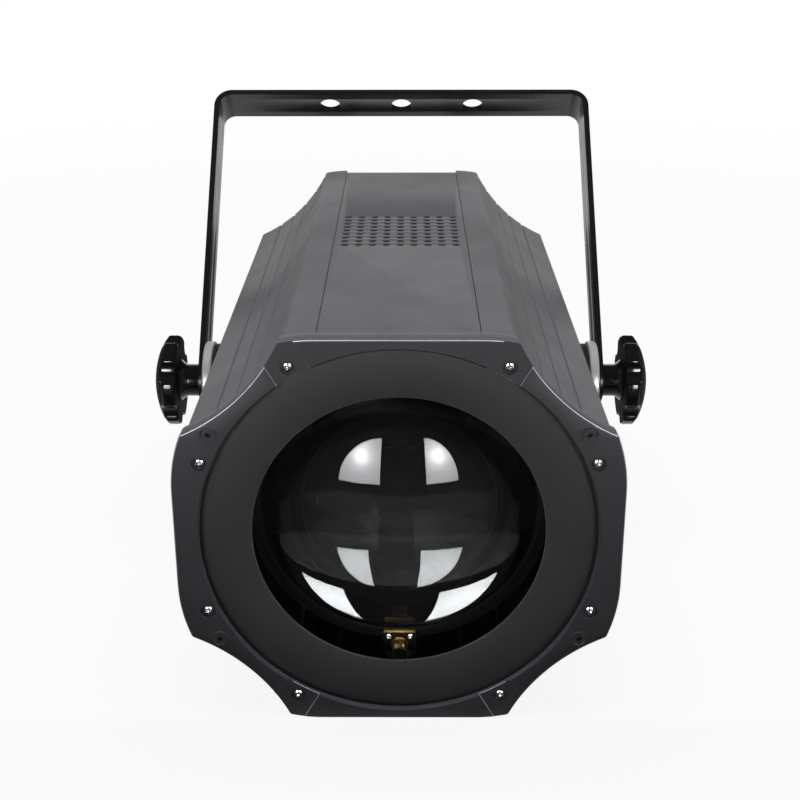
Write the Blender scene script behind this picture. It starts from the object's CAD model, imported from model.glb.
"""Zoom stage spotlight: the finish of every surface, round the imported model.

The sections follow the lamp as it is put together, from the body shell to the yoke and its knobs.
Sizes are in millimetres about the beam axis: X to the right, depth back from the front face, Z up.
"""
import math

import bmesh
import bpy
import numpy as np
from mathutils import Matrix, Vector
from mathutils.geometry import tessellate_polygon


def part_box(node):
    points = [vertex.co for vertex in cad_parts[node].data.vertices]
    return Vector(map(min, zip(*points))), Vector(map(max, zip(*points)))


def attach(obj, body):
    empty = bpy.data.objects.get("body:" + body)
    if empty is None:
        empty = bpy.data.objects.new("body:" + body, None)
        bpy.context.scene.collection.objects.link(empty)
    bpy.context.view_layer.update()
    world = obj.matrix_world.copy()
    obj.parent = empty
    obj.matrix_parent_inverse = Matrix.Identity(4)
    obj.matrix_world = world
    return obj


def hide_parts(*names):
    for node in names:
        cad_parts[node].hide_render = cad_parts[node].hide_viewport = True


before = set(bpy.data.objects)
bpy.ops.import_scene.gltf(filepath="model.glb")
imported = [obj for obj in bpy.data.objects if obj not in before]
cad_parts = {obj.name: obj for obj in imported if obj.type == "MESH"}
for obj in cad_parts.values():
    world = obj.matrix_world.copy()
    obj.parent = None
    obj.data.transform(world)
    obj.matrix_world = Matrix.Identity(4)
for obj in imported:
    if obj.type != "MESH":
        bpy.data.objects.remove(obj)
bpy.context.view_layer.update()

# Camera and studio
# The camera stands where the photographer stood, a little above the lamp and looking down at it.
# The lamp stands on a pale table before a pale backdrop, between two round softboxes and under a broad lamp.

BOSS_RISE = 0.4
bezel_low, bezel_high = [np.array(corner) * 1000 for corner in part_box('front_bezel')]
FACE_WIDTH, _, FACE_HEIGHT = bezel_high - bezel_low
FRONT = bezel_low[1] + BOSS_RISE
AXIS = (bezel_low[2] + bezel_high[2]) / 2

CAMERA_PLACE = (4.2, -636.1, 333.6)
CAMERA_PITCH = 68.301
CAMERA_YAW = 0.312
CAMERA_ROLL = -0.101
FOCAL_PIXELS = 1336.3
PICTURE_PIXELS = 800
SENSOR = 36.0


def in_frame(points):
    """Points of (X, depth, Z) in millimetres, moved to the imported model's frame in metres."""
    return (np.asarray(points, float) + (0, FRONT, AXIS)) / 1000


lens_eye = bpy.data.cameras.new('camera')
lens_eye.sensor_width = SENSOR
lens_eye.lens = FOCAL_PIXELS / PICTURE_PIXELS * SENSOR
eye = bpy.data.objects.new('camera', lens_eye)
eye.matrix_world = (Matrix.Translation(in_frame(CAMERA_PLACE)) @ Matrix.Rotation(math.radians(CAMERA_YAW), 4, 'Z')
                    @ Matrix.Rotation(math.radians(CAMERA_PITCH), 4, 'X')
                    @ Matrix.Rotation(math.radians(CAMERA_ROLL), 4, 'Z'))
bpy.context.scene.collection.objects.link(eye)
bpy.context.scene.camera = eye
bpy.context.scene.view_settings.view_transform = 'Standard'


class Value:
    """A socket of a node tree. Python's operators on values add Math nodes to the tree."""

    def __init__(self, shades, socket):
        self.shades = shades
        self.socket = socket

    def math(self, operation, *numbers):
        return self.shades.node('ShaderNodeMath', {'operation': operation}, dict(enumerate(numbers)))

    def __add__(self, other):
        return self.math('ADD', self, other)

    def __mul__(self, other):
        return self.math('MULTIPLY', self, other)

    def __rsub__(self, other):
        return self.math('SUBTRACT', other, self)

    def __rtruediv__(self, other):
        return self.math('DIVIDE', other, self)

    def most(self, other):
        return self.math('MAXIMUM', self, other)

    __radd__, __rmul__ = __add__, __mul__


class Shades:
    """The node tree of a material or of the world."""

    def __init__(self, tree):
        self.tree = tree

    def node(self, kind, settings=None, sockets=None, output=0):
        """One node: its type, its settings, then the values or links of its sockets."""
        node = self.tree.nodes.new(kind)
        for key, setting in (settings or {}).items():
            setattr(node, key, setting)
        for key, value in (sockets or {}).items():
            if isinstance(value, Value):
                self.tree.links.new(value.socket, node.inputs[key])
            else:
                node.inputs[key].default_value = value
        return Value(self, node.outputs[output])

    def ray(self, *kinds):
        """One for the named kinds of light path, such as Camera and Glossy, and none for the others."""
        paths = [self.node('ShaderNodeLightPath', output='Is %s Ray' % kind) for kind in kinds]
        share = paths[0]
        for path in paths[1:]:
            share = share.most(path)
        return share


class Finish(Shades):
    """A material, built on its Principled shader. Sockets that stay the same all over are set by name."""

    def __init__(self, name, colour, roughness, metallic=0.0, **constants):
        self.material = bpy.data.materials.new(name)
        self.material.use_nodes = True
        super().__init__(self.material.node_tree)
        self.shader = self.tree.nodes['Principled BSDF']
        self.shader.inputs['Base Color'].default_value = (*colour, 1)
        self.shader.inputs['Roughness'].default_value = roughness
        self.shader.inputs['Metallic'].default_value = metallic
        for socket, value in constants.items():
            self.shader.inputs[socket.replace('_', ' ')].default_value = value

    def show(self, shading):
        """Makes another shader the material's surface."""
        self.tree.links.new(shading.socket, self.tree.nodes['Material Output'].inputs['Surface'])

    def place(self, stretch=(1, 1, 1)):
        """Object coordinates, squeezed or stretched along each axis."""
        where = self.node('ShaderNodeTexCoord', output='Object')
        return self.node('ShaderNodeMapping', {'vector_type': 'POINT'}, {'Vector': where, 'Scale': stretch})

    def noise(self, per_metre, detail=2.0, stretch=(1, 1, 1)):
        """Soft noise about 0.5, with so many features a metre."""
        return self.node('ShaderNodeTexNoise', {}, {'Vector': self.place(stretch), 'Scale': per_metre,
                                                    'Detail': detail})

    def tint(self, share, light, dark):
        """The base colour, mixed from dark to light by a share."""
        colour = self.node('ShaderNodeMix', {'data_type': 'RGBA'},
                           {'Factor': share, 6: (*dark, 1), 7: (*light, 1)}, 2)
        return self.feed('Base Color', colour)

    def feed(self, socket, value):
        self.tree.links.new(value.socket, self.shader.inputs[socket])
        return self

    def bump(self, height, depth):
        """Relief of a height from 0 to 1, so many metres deep."""
        return self.feed('Normal', self.node('ShaderNodeBump', {}, {'Height': height, 'Distance': depth}))


def stage_mesh(name, points, faces):
    """A flat mesh of the studio, in metres."""
    mesh = bpy.data.meshes.new(name)
    mesh.from_pydata([tuple(p) for p in points], [], faces)
    item = bpy.data.objects.new(name, mesh)
    bpy.context.scene.collection.objects.link(item)
    return item


PALE = (0.80, 0.80, 0.80)
SEEN_SHARE = 0.90
SEEN_EDGE = (0.5, 2.0)
WHITE_BACK = (-0.15, 0.3)
WHITE_ASIDE = (0.45, 0.8)
FLOOR_REACH = 6.0
ROOM_SHADE = 0.03


def ramp(shades, value, start, end, low, high):
    """A value carried smoothly from low to high between two ends."""
    return shades.node('ShaderNodeMapRange', {'interpolation_type': 'SMOOTHSTEP'},
                       {'Value': value, 'From Min': start, 'From Max': end, 'To Min': low, 'To Max': high})


def pale_surface(name):
    """A pale matt surface. The camera sees it nearly white, and mirrors see white only straight behind the lamp."""
    finish = Finish(name, PALE, 0.9)
    where = finish.node('ShaderNodeTexCoord', output='Object')
    away = finish.node('ShaderNodeVectorMath', {'operation': 'LENGTH'}, {0: where}, 1)
    back = finish.node('ShaderNodeSeparateXYZ', {}, {'Vector': where}, 1)
    across = finish.node('ShaderNodeSeparateXYZ', {}, {'Vector': where})
    aside = across.math('ABSOLUTE', across)
    camera_ray, mirror_ray = finish.ray('Camera'), finish.ray('Glossy', 'Transmission')
    seen = camera_ray * ramp(finish, away, *SEEN_EDGE, SEEN_SHARE, 1.0)
    seen = seen + (1 - camera_ray) * mirror_ray
    behind = ramp(finish, back, *WHITE_BACK, 0.0, 1.0) * ramp(finish, aside, *WHITE_ASIDE, 1.0, 0.0)
    glow = camera_ray + (1 - camera_ray) * (ROOM_SHADE + (1 - ROOM_SHADE) * behind)
    white = finish.node('ShaderNodeEmission', {}, {'Color': (1, 1, 1, 1), 'Strength': glow})
    finish.show(finish.node('ShaderNodeMixShader', {}, {0: seen, 1: Value(finish, finish.shader.outputs[0]),
                                                        2: white}))
    return finish.material


def flat_sheet(name, reach, front, back, lift, material):
    """A rectangle that lies in the studio, so far to each side, in metres."""
    item = stage_mesh(name, [(-reach, front, lift), (reach, front, lift), (reach, back, lift), (-reach, back, lift)],
                      [(0, 1, 2, 3)])
    item.data.materials.append(material)
    return item


flat_sheet('floor', FLOOR_REACH, -FLOOR_REACH, FLOOR_REACH, 0, pale_surface('pale_table'))

FLAG_LIFT = 0.002
FLAG_WIDE = 0.5
FLAG_FRONT = -1.0
BLACK_FLAG_FRONT = -0.435
LAMP_FRONT = -0.212


def floor_flag(name, front, back, shade):
    """A dull cloth on the table before the lamp, which only reflections show."""
    finish = Finish(name + '_cloth', (shade, shade, shade), 0.95)
    flag = flat_sheet(name, FLAG_WIDE, front, back, FLAG_LIFT, finish.material)
    flag.visible_camera = flag.visible_shadow = False


floor_flag('near_flag', BLACK_FLAG_FRONT, LAMP_FRONT, 0.01)
floor_flag('far_flag', FLAG_FRONT, BLACK_FLAG_FRONT, 0.09)

SOFTBOX_DISTANCE = 1500.0
SOFTBOX_INNER = (285.0, 395.0)
SOFTBOX_LOW = -50.0
SOFTBOX_WIDE = (715.0, 560.0)
SOFTBOX_TALL = 740.0
SOFTBOX_LIGHT = 10.0
BULB = (610.0, 400.0)
EVEN_GLOW = 0.55
BULB_GLOWS = ((0.8, 0.06), (2.4, 0.008))


def softbox(name, side, inner, wide):
    """A softbox with a round outer edge: rows of points from its inner low corner out to a quarter ellipse."""
    share = np.linspace(0, 1, 9)[:, None]
    turn = np.linspace(0, math.pi / 2, 25)[None, :]
    x = side * (inner + wide * share * np.cos(turn))
    z = SOFTBOX_LOW + SOFTBOX_TALL * share * np.sin(turn)
    points = in_frame(np.stack([x, np.full_like(x, -SOFTBOX_DISTANCE), z], -1).reshape(-1, 3))
    rows, columns = x.shape
    faces = [(r * columns + c, r * columns + c + 1, (r + 1) * columns + c + 1, (r + 1) * columns + c)
             for r in range(rows - 1) for c in range(columns - 1)]
    item = stage_mesh(name, points, faces)
    finish = Finish(name + '_glow', (0, 0, 0), 1.0)
    bulb = in_frame((side * BULB[0], -SOFTBOX_DISTANCE, BULB[1]))
    where = finish.node('ShaderNodeTexCoord', output='Object')
    distance = finish.node('ShaderNodeVectorMath', {'operation': 'DISTANCE'}, {0: where, 1: tuple(bulb)}, 1)
    square = distance * distance
    glow = SOFTBOX_LIGHT * (EVEN_GLOW + sum(gain * (spread / (square + spread)) for gain, spread in BULB_GLOWS))
    finish.show(finish.node('ShaderNodeEmission', {}, {'Color': (0.97, 0.98, 1.0, 1), 'Strength': glow}))
    item.data.materials.append(finish.material)
    item.visible_camera = item.visible_diffuse = False


softbox('softbox_left', -1, SOFTBOX_INNER[0], SOFTBOX_WIDE[0])
softbox('softbox_right', 1, SOFTBOX_INNER[1], SOFTBOX_WIDE[1])

for lamp_name, place, aim, wide, deep, power in (
        ('overhead', (0.0, -0.1, 1.9), (0.0, 0.0, 0.1), 2.0, 1.4, 30.0),
        ('side_left', (-1.9, 0.1, 0.8), (0.0, 0.0, 0.15), 0.9, 1.2, 10.0),
        ('side_right', (1.9, 0.1, 0.8), (0.0, 0.0, 0.15), 0.9, 1.2, 10.0)):
    lamp = bpy.data.lights.new(lamp_name, 'AREA')
    lamp.shape = 'RECTANGLE'
    lamp.size = wide
    lamp.size_y = deep
    lamp.energy = power
    holder = bpy.data.objects.new(lamp_name, lamp)
    holder.location = place
    holder.rotation_euler = (Vector(aim) - Vector(place)).to_track_quat('-Z', 'Y').to_euler()
    bpy.context.scene.collection.objects.link(holder)
    holder.visible_glossy = False

WORLD_LIGHT = 0.16
ROOM_EDGE = (0.78, 0.92)
world = bpy.data.worlds.new('studio')
bpy.context.scene.world = world
world.use_nodes = True
sky = Shades(world.node_tree)
heading = sky.node('ShaderNodeTexCoord', output='Generated')
backward = sky.node('ShaderNodeSeparateXYZ', {}, {'Vector': heading}, 1)
backdrop = ramp(sky, backward, *ROOM_EDGE, ROOM_SHADE, 1.0)
camera_ray, mirror_ray = sky.ray('Camera'), sky.ray('Glossy', 'Transmission')
strength = camera_ray + (1 - camera_ray) * (mirror_ray * backdrop + (1 - mirror_ray) * WORLD_LIGHT)
sky.tree.links.new(strength.socket, sky.tree.nodes['Background'].inputs['Strength'])
sky.tree.nodes['Background'].inputs['Color'].default_value = (1, 1, 1, 1)

# Corner profiles
# Four aluminium extrusions carry the whole lamp. Each has a hollow face with five grooves, a lip for the panel
# beside it and two round ports that take the long bezel screws. They are powder coated dark grey.

TOP_FLAT_HALF = 43.0
SIDE_FLAT_HALF = 27.8
TOP_SWEEP = 85.0
SIDE_SWEEP = 90.0
SCALLOP = 103.6
SCALLOP_OUT = (34.8, 42.5)
BODY_INSET = 2.64
SHEET = 1.5
GAP = 0.3
LIP_LENGTH = 6.0
LIP = 1.4
REBATE = SHEET + GAP
WALL = REBATE + LIP
SHELL_FRONT = 16.1
BODY_LENGTH = 418.0
REAR_FACE = 407.0
REAR_SHEET = 2.0
PORT_BACK = REAR_FACE - 2 * GAP - REAR_SHEET
CORNER_SOFTNESS = 1.2
SEAM_SOFTNESS = 0.35
GROOVES = 5
GROOVE_PITCH = math.radians(7.2)
GROOVE_FIRST = math.radians(28.0)
GROOVE_WIDTH = 1.4
GROOVE_DEPTH = 0.9
TOP_SCREW = (56.7, 98.1)
SIDE_SCREW = (104.6, 44.2)
PORT = 4.5
SCREW_HOLE = 1.8
SWEEP_STEPS = 12
HOLLOW_STEPS = 24
INWARD = 0.5
WELD_REACH = 2e-6
SLIVER = 1e-7
SHARP = 28.0
SIDES = (('right', 1), ('left', -1))

panel_top, panel_side = FACE_HEIGHT / 2 - BODY_INSET, FACE_WIDTH / 2 - BODY_INSET
top_centre = np.array((TOP_FLAT_HALF, FACE_HEIGHT / 2 - TOP_SWEEP))
side_centre = np.array((FACE_WIDTH / 2 - SIDE_SWEEP, SIDE_FLAT_HALF))
scallop_centre = np.array((FACE_WIDTH / 2 + SCALLOP_OUT[0], FACE_HEIGHT / 2 + SCALLOP_OUT[1]))


def bow(centre, radius, start, end, steps):
    """Points on an arc: centre + radius (cos t, sin t), with t from start to end."""
    t = np.linspace(start, end, steps + 1)
    return centre + radius * np.stack([np.cos(t), np.sin(t)], -1)


def crossing(centre_a, radius_a, centre_b, radius_b, near):
    """Where two circles cross, nearest to a point, by the cosine rule."""
    span = centre_b - centre_a
    length = np.hypot(*span)
    along = (length ** 2 + radius_a ** 2 - radius_b ** 2) / (2 * length)
    aside = math.sqrt(radius_a ** 2 - along ** 2)
    unit = span / length
    normal = np.array((-unit[1], unit[0]))
    both = [centre_a + unit * along + normal * aside * sign for sign in (1, -1)]
    return min(both, key=lambda p: np.hypot(*(p - near)))


def bearing(point, centre):
    """The angle of a point about a centre, from 0 to a full turn."""
    return math.atan2(*(point - centre)[::-1]) % (2 * math.pi)


def eased(before, corner, after, steps=5):
    """A corner rounded to the parabola (1-t)^2 before + 2t(1-t) corner + t^2 after."""
    t = np.linspace(0, 1, steps + 1)[:, None]
    return (1 - t) ** 2 * before + 2 * t * (1 - t) * corner + t ** 2 * after


def hollow(radius, start, end, grooves):
    """The hollow arc. Grooves dip outwards by GROOVE_DEPTH times a rounded square wave of the angle."""
    if not grooves:
        return bow(scallop_centre, radius, start, end, HOLLOW_STEPS)
    t = np.linspace(start, end, 40 * HOLLOW_STEPS)
    index = (t - math.pi - GROOVE_FIRST) / GROOVE_PITCH
    nearest = np.clip(np.round(index), 0, GROOVES - 1)
    off = np.abs(index - nearest) * GROOVE_PITCH * radius / (GROOVE_WIDTH / 2)
    dip = GROOVE_DEPTH / (1 + off ** 8)
    keep = np.r_[True, (np.abs(off[1:-1]) < 2.2) | (np.arange(1, len(t) - 1) % 20 == 0), True]
    return (scallop_centre + (radius + dip)[:, None] * np.stack([np.cos(t), np.sin(t)], -1))[keep]


def quadrant(inset, grooves=False):
    """The upper right quarter: top sweep, rounded corner, hollow, rounded corner, side sweep."""
    top, side, inner = TOP_SWEEP - inset, SIDE_SWEEP - inset, SCALLOP + inset
    top_corner = crossing(top_centre, top, scallop_centre, inner, (0, FACE_HEIGHT))
    side_corner = crossing(side_centre, side, scallop_centre, inner, (FACE_WIDTH, 0))
    soft = CORNER_SOFTNESS
    upper = bow(top_centre, top, math.pi / 2, bearing(top_corner, top_centre) + soft / top, SWEEP_STEPS)
    middle = hollow(inner, bearing(top_corner, scallop_centre) + soft / inner,
                    bearing(side_corner, scallop_centre) - soft / inner, grooves)
    lower = bow(side_centre, side, bearing(side_corner, side_centre) - soft / side, 0, SWEEP_STEPS)
    return np.concatenate([upper[:-1], eased(upper[-1], top_corner, middle[0]), middle[1:-1],
                           eased(middle[-1], side_corner, lower[0]), lower[1:]])


def outline(inset):
    """The whole outline, clockwise, moved inwards by an inset."""
    corner = quadrant(inset)
    upper = np.concatenate([corner[::-1] * (-1, 1), corner])
    return np.concatenate([upper, upper[::-1] * (1, -1)])


def grid_faces(rows, columns, wrap_rows=False):
    """Quads between neighbouring rows and columns of a grid of points, whose columns go all the way round."""
    row = np.arange(rows if wrap_rows else rows - 1)[:, None]
    column = np.arange(columns)[None, :]
    row_on, column_on = (row + 1) % rows, (column + 1) % columns
    corners = [row * columns + column, row * columns + column_on, row_on * columns + column_on,
               row_on * columns + column]
    return np.stack([corner + 0 * row + 0 * column for corner in corners], -1).reshape(-1, 4)


def plate(walls):
    """A plate. Each wall holds rows of (X, depth, Z) round one outline, from its front rim to its back rim.

    The first wall is the outer one, and the flat faces between the rims are filled with triangles.
    """
    patches = [(wall.reshape(-1, 3), grid_faces(*wall.shape[:2]).tolist()) for wall in walls]
    for row in (0, -1):
        loops = [[Vector(point) for point in wall[row]] for wall in walls]
        patches.append((np.concatenate([wall[row] for wall in walls]), tessellate_polygon(loops)))
    return patches


def remade(mesh, change):
    """Changes a mesh by a function of its bmesh, then turns its faces outwards."""
    shape = bmesh.new()
    shape.from_mesh(mesh)
    change(shape)
    shape.normal_update()
    bmesh.ops.recalc_face_normals(shape, faces=shape.faces)
    shape.to_mesh(mesh)
    shape.free()


def weld(shape):
    """Joins points that meet, and drops faces without area."""
    bmesh.ops.remove_doubles(shape, verts=shape.verts, dist=WELD_REACH)
    bmesh.ops.dissolve_degenerate(shape, dist=SLIVER, edges=shape.edges)


def welded(name, patches, to_frame=in_frame):
    """A closed mesh of patches."""
    points = np.concatenate([to_frame(patch[0]) for patch in patches])
    starts = np.cumsum([0] + [len(patch[0]) for patch in patches])
    faces = [tuple(int(i) + int(start) for i in face) for patch, start in zip(patches, starts) for face in patch[1]]
    mesh = bpy.data.meshes.new(name)
    mesh.from_pydata(points.tolist(), [], faces)
    remade(mesh, weld)
    return mesh


def made(name, patches, body, finish, *nodes, sharp=SHARP, to_frame=in_frame):
    """A piece: its patches welded into one closed mesh, in its finish, on its body, in place of its CAD nodes."""
    mesh = welded(name, patches, to_frame)
    mesh.shade_smooth()
    mesh.set_sharp_from_angle(angle=math.radians(sharp))
    mesh.materials.append(finish.material)
    item = bpy.data.objects.new(name, mesh)
    bpy.context.scene.collection.objects.link(item)
    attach(item, body)
    if nodes:
        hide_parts(*nodes)
    return item


def round_edge(front, back, radius, steps=3):
    """Rows of (inset, depth) that round both rims of a plate: inset r(1 - sin a), depth r(1 - cos a)."""
    a = np.linspace(0, math.pi / 2, steps + 1)
    rim = np.stack([radius * (1 - np.sin(a)), radius * (1 - np.cos(a))], -1)
    return np.concatenate([rim + (0, front), (rim * (1, -1) + (0, back))[::-1]])


def raised(loop, edge):
    """A wall from an outline in X and Z: a function of the inset, or fixed points that keep one size."""
    rows = [(loop(inset) if callable(loop) else loop, depth) for inset, depth in edge]
    return np.stack([np.stack([xz[:, 0], np.full(len(xz), depth), xz[:, 1]], -1) for xz, depth in rows])


def hole(centre, radius, edge, steps=24):
    """The wall of a round hole, whose rims open out by the edge's inset."""
    ring = bow(np.zeros(2), 1.0, 0, 2 * math.pi, steps)[:-1]
    return raised(lambda inset: np.asarray(centre) + ring * (radius + inset), edge)


def full_turn(steps):
    """Angles evenly round a circle, as one row."""
    return np.linspace(0, 2 * math.pi, steps, endpoint=False)[None, :]


def around(radius, depth, turn, centre=(0, 0)):
    """Points at a radius, a depth and an angle about the depth axis."""
    return np.stack([centre[0] + radius * np.cos(turn), depth + 0 * turn, centre[1] + radius * np.sin(turn)], -1)


def turned(profile, centre=(0, 0), steps=96, closed=False):
    """A turned patch: each (radius, depth) of the profile carried round the depth axis."""
    profile = np.asarray(profile, float)
    points = around(profile[:, :1], profile[:, 1:], full_turn(steps), centre)
    return points.reshape(-1, 3), grid_faces(len(profile), steps, closed).tolist()


def softened(corners, radius, closed=False, steps=3):
    """A path whose corners are rounded by parabolas that start a radius away, or less on a short side."""
    path = np.asarray(corners, float)
    before, after = np.roll(path, 1, 0) - path, np.roll(path, -1, 0) - path
    length_before = np.maximum(np.hypot(*before.T), 1e-9)[:, None]
    length_after = np.maximum(np.hypot(*after.T), 1e-9)[:, None]
    start = path + before / length_before * np.minimum(radius, 0.45 * length_before)
    end = path + after / length_after * np.minimum(radius, 0.45 * length_after)
    t = np.linspace(0, 1, steps + 1)[None, :, None]
    curve = (1 - t) ** 2 * start[:, None] + 2 * t * (1 - t) * path[:, None] + t ** 2 * end[:, None]
    if closed:
        return curve.reshape(-1, 2)
    return np.concatenate([path[:1], curve[1:-1].reshape(-1, 2), path[-1:]])


def bored(centre, radius, front, back, steps=24):
    """The wall of a straight round hole."""
    return hole(centre, radius, [(0, front), (0, back)], steps)


def disc(radius, front, back, soft=0, centre=(0, 0), steps=96):
    """A disc or pin between two depths, with its rims rounded by so much."""
    path = [(0, front), (radius, front), (radius, back), (0, back)]
    return turned(softened(path, soft) if soft else path, centre, steps)


def washer(inner, outer, front, back, soft=0, centre=(0, 0), steps=96):
    """A flat ring between two depths, with its rims rounded by so much."""
    path = [(inner, front), (outer, front), (outer, back), (inner, back)]
    return turned(softened(path, soft, closed=True) if soft else path, centre, steps, closed=True)


def powder_coat(name, colour, roughness, grain=0.00002):
    """Powder coat: fine orange peel, a slight cloudiness and a few dull patches from handling."""
    finish = Finish(name, colour, roughness, Specular_IOR_Level=0.45)
    cloud = finish.noise(14.0, 3.0)
    light = tuple(min(1.0, c * 1.10) for c in colour)
    dark = tuple(c * 0.90 for c in colour)
    finish.tint(cloud, light, dark)
    handling = finish.noise(38.0, 4.0)
    finish.feed('Roughness', handling * 0.16 + (roughness - 0.08))
    peel = finish.noise(1500.0, 2.0)
    waves = finish.noise(420.0, 1.0)
    return finish.bump(peel * 0.6 + waves * 0.4, grain)


body_coat = powder_coat('body_powder_coat', (0.086, 0.086, 0.094), 0.46)
inside_black = powder_coat('inside_black', (0.008, 0.008, 0.008), 0.75)
inside_black.shader.inputs['Specular IOR Level'].default_value = 0.1


def plated(name, colour, roughness, scratch=0.10):
    """Bright metal: fine scratches in the roughness and a slight unevenness."""
    finish = Finish(name, colour, roughness, 1.0)
    marks = finish.noise(900.0, 4.0, (1, 0.2, 1))
    finish.feed('Roughness', marks * scratch * 2 + (roughness - scratch))
    cloud = finish.noise(160.0, 2.0)
    finish.tint(cloud, tuple(min(1, c * 1.06) for c in colour), tuple(c * 0.88 for c in colour))
    return finish.bump(marks, 0.000004)


def of_faces(item, what):
    """The normal or the center of each face, in rows of X, Y and Z in metres."""
    values = np.zeros(len(item.data.polygons) * 3)
    item.data.polygons.foreach_get(what, values)
    return values.reshape(-1, 3)


def second_finish(item, finish, chosen):
    """Another finish on the chosen faces."""
    item.data.materials.append(finish.material)
    item.data.polygons.foreach_set('material_index', chosen.astype(np.int32))
    return item


def blacken_inside(item):
    """Black paint on the faces that look towards the beam axis."""
    out = of_faces(item, 'center')[:, (0, 2)] - (0, AXIS / 1000)
    facing = (of_faces(item, 'normal')[:, (0, 2)] * out).sum(1) / np.hypot(*out.T)
    return second_finish(item, inside_black, facing < -INWARD)


def profile_section():
    """The section of the upper right profile: grooved outer face, side rebate, inner wall, top rebate."""
    outer = quadrant(BODY_INSET, grooves=True)
    seam = SEAM_SOFTNESS
    side_seam = eased(outer[-1] + (0, seam), outer[-1], outer[-1] - (seam, 0))
    top_seam = eased(outer[0] - (0, seam), outer[0], outer[0] + (seam, 0))
    inner = quadrant(BODY_INSET + WALL)
    side = [(panel_side - REBATE, SIDE_FLAT_HALF), (panel_side - REBATE, SIDE_FLAT_HALF - LIP_LENGTH),
            (panel_side - WALL, SIDE_FLAT_HALF - LIP_LENGTH)]
    top = [(TOP_FLAT_HALF - LIP_LENGTH, panel_top - WALL), (TOP_FLAT_HALF - LIP_LENGTH, panel_top - REBATE),
           (TOP_FLAT_HALF, panel_top - REBATE)]
    return np.concatenate([top_seam, outer[1:-1], side_seam, side, inner[::-1], top])


for profile_name, right, upper in (('upper_right', 1, 1), ('upper_left', -1, 1), ('lower_right', 1, -1),
                                   ('lower_left', -1, -1)):
    flip = np.array((right, upper))
    section = profile_section() * flip
    patches = plate([raised(section, [(0, SHELL_FRONT), (0, BODY_LENGTH)])])
    patches += [washer(SCREW_HOLE, PORT, SHELL_FRONT, PORT_BACK, centre=flip * port, steps=24)
                for port in (TOP_SCREW, SIDE_SCREW)]
    blacken_inside(made('profile_' + profile_name, patches, 'head', body_coat, 'corner_profile_' + profile_name,
                        sharp=40))

# Top and bottom panels
# Flat aluminium sheets that slide in between the profiles. The top one has a square field of punched vents
# over the heat sink, and the bottom one long intake slots. Both are coated with the profiles.

PANEL_BACK = 411.0
VENTS = 9
VENT_PITCH = (8.9, 9.1)
VENT_RADIUS = 2.45
VENT_CENTRE = 229.4
SLOTS = 9
SLOT_PITCH = 9.0
SLOT_HALF = 1.8
SLOT_REACH = 25.0
SHEET_SOFTNESS = 0.25


def lying(points):
    """A plate drawn in X and depth, with its thickness along Z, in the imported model's frame."""
    return in_frame(np.asarray(points)[:, (0, 2, 1)])


def oblong(centre, half_wide, half_long, radius, steps=6):
    """A rectangle with round corners, grown or shrunk by an inset, as a function of the inset."""
    corner = np.linspace(0, math.pi / 2, steps + 1)
    turn = np.concatenate([corner + k * math.pi / 2 for k in range(4)])
    sign_x = np.repeat((1, -1, -1, 1), steps + 1)
    sign_y = np.repeat((1, 1, -1, -1), steps + 1)
    middle = np.stack([sign_x * (half_wide - radius), sign_y * (half_long - radius)], -1) + np.asarray(centre)
    ring = np.stack([np.cos(turn), np.sin(turn)], -1)
    return lambda inset: middle + ring * (radius - inset)


panel_middle = ((SHELL_FRONT + PANEL_BACK) / 2, (PANEL_BACK - SHELL_FRONT) / 2)
panel_edge = oblong((0, panel_middle[0]), TOP_FLAT_HALF - GAP, panel_middle[1], 0.6, 3)
vent_offsets = (np.arange(VENTS) - (VENTS - 1) / 2)


def sheet_walls(loops, low, high, soft=SHEET_SOFTNESS):
    """Walls of a sheet's outline and of its openings, with rims rounded by the punch."""
    rim = round_edge(0, high - low, soft, 2)
    outer = raised(loops[0], rim + (0, low))
    inner = [raised(loop, rim * (-1, 1) + (0, low)) for loop in loops[1:]]
    return [outer] + inner


def ring_loop(centre, radius, steps=20):
    """A circle as a function of the inset."""
    ring = bow(np.zeros(2), 1.0, 0, 2 * math.pi, steps)[:-1]
    return lambda inset: np.asarray(centre) + ring * (radius - inset)


vents = [ring_loop((i * VENT_PITCH[0], VENT_CENTRE + j * VENT_PITCH[1]), VENT_RADIUS)
         for i in vent_offsets for j in vent_offsets]
slots = [oblong(((i - (SLOTS - 1) / 2) * SLOT_PITCH, VENT_CENTRE), SLOT_HALF, SLOT_REACH, SLOT_HALF)
         for i in range(SLOTS)]
blacken_inside(made('panel_top', plate(sheet_walls([panel_edge] + vents, panel_top - SHEET, panel_top)), 'head',
                    body_coat, 'top_panel', to_frame=lying))
blacken_inside(made('panel_bottom', plate(sheet_walls([panel_edge] + slots, -panel_top, -panel_top + SHEET)),
                    'head', body_coat, 'bottom_panel', to_frame=lying))

# Side panels
# Narrow coated sheets between the profiles, each with a boss welded inside it for the clamp stud.

PIVOT_DEPTH = 240.6
STUD = 5.0
PIVOT_BOSS = 14.0
PIVOT_BOSS_LENGTH = 9.0


def standing(points):
    """A plate drawn in depth and Z, with its thickness along X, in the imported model's frame."""
    return in_frame(np.asarray(points)[:, (1, 0, 2)])


for side_name, side in SIDES:
    edge = oblong((panel_middle[0], 0), panel_middle[1], SIDE_FLAT_HALF - GAP, 0.6, 3)
    bore = ring_loop((PIVOT_DEPTH, 0), STUD + GAP, 32)
    low, high = sorted((side * panel_side, side * (panel_side - SHEET)))
    patches = plate(sheet_walls([edge, bore], low, high))
    foot = side * (panel_side - SHEET / 2)
    end = side * (panel_side - SHEET - PIVOT_BOSS_LENGTH)
    patches.append(washer(STUD + GAP, PIVOT_BOSS, foot, end, centre=(PIVOT_DEPTH, 0), steps=48))
    blacken_inside(made('panel_side_' + side_name, patches, 'head', body_coat, 'side_panel_' + side_name,
                        to_frame=standing))

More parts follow.
